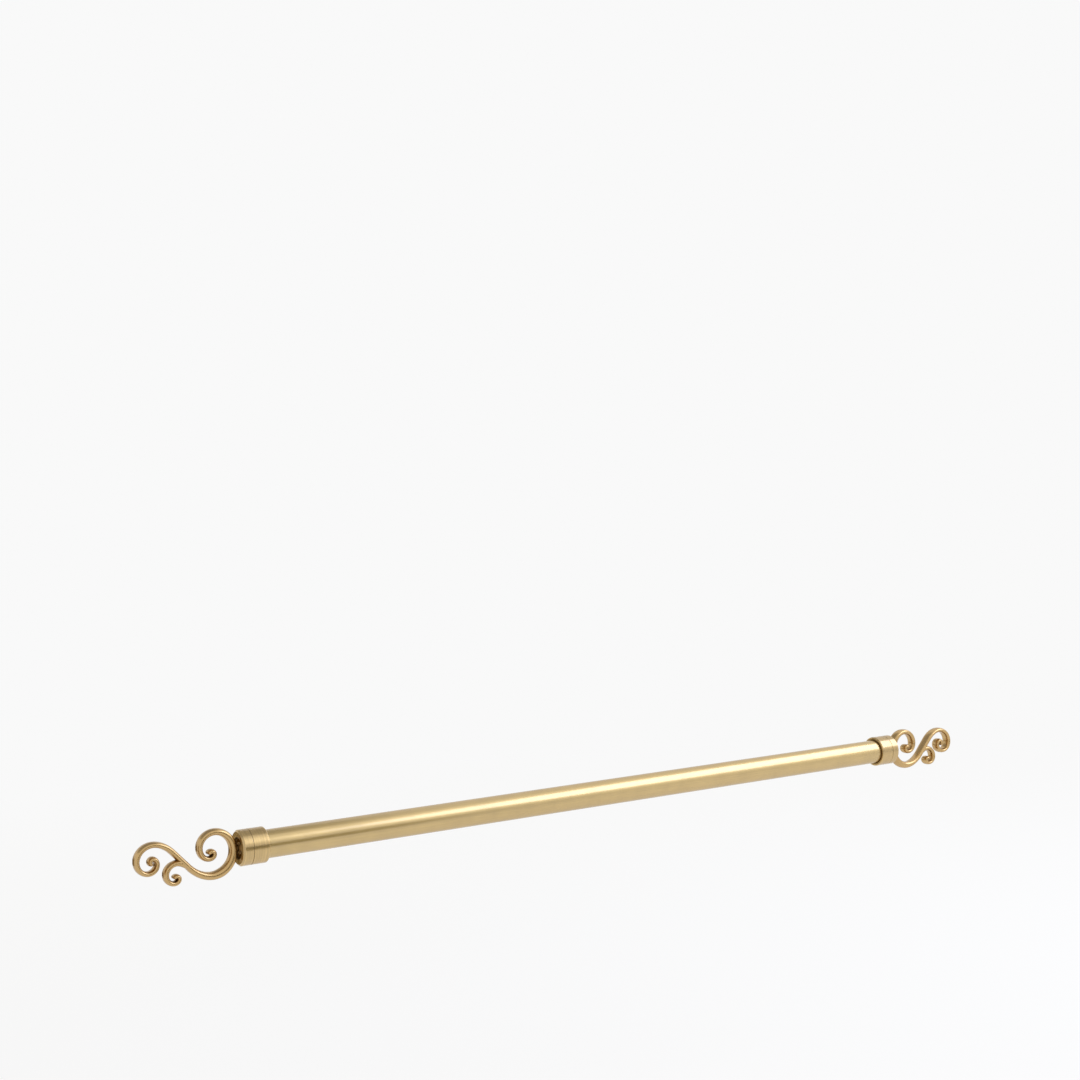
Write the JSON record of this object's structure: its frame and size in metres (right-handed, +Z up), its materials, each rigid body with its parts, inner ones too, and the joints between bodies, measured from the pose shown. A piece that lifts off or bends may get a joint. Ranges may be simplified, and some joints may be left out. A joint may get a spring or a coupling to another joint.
{
  "type": "curtain rod",
  "caption": "Straight round curtain rod with a bevelled collar and a mirrored S-scroll finial with a small branch scroll at each end.",
  "frame": {"origin": "on the rod's axis, at mid-length", "axes": "+X along the rod, +Y away from the room, +Z up, with the scrolls upright"},
  "size_m": [0.9716, 0.032, 0.0443],
  "materials": {
    "tube_brass": "satin, brushed along the rod",
    "collar_brass": "satin, brushed round the turning",
    "finial_brass": "cast and hand polished, darker in the hollows",
    "fixing_steel": "zinc plated",
    "screw_steel": "black oxide"
  },
  "bodies": {
    "root": {"rod_tube": "tube_brass", "left_finial": "finial_brass", "left_end_cap": "collar_brass", "left_collar": "collar_brass", "left_finial_stud": "fixing_steel", "left_end_plug": "fixing_steel", "left_set_screw": "screw_steel", "right_finial": "finial_brass", "right_end_cap": "collar_brass", "right_collar": "collar_brass", "right_finial_stud": "fixing_steel", "right_end_plug": "fixing_steel", "right_set_screw": "screw_steel"}
  },
  "joints": []
}
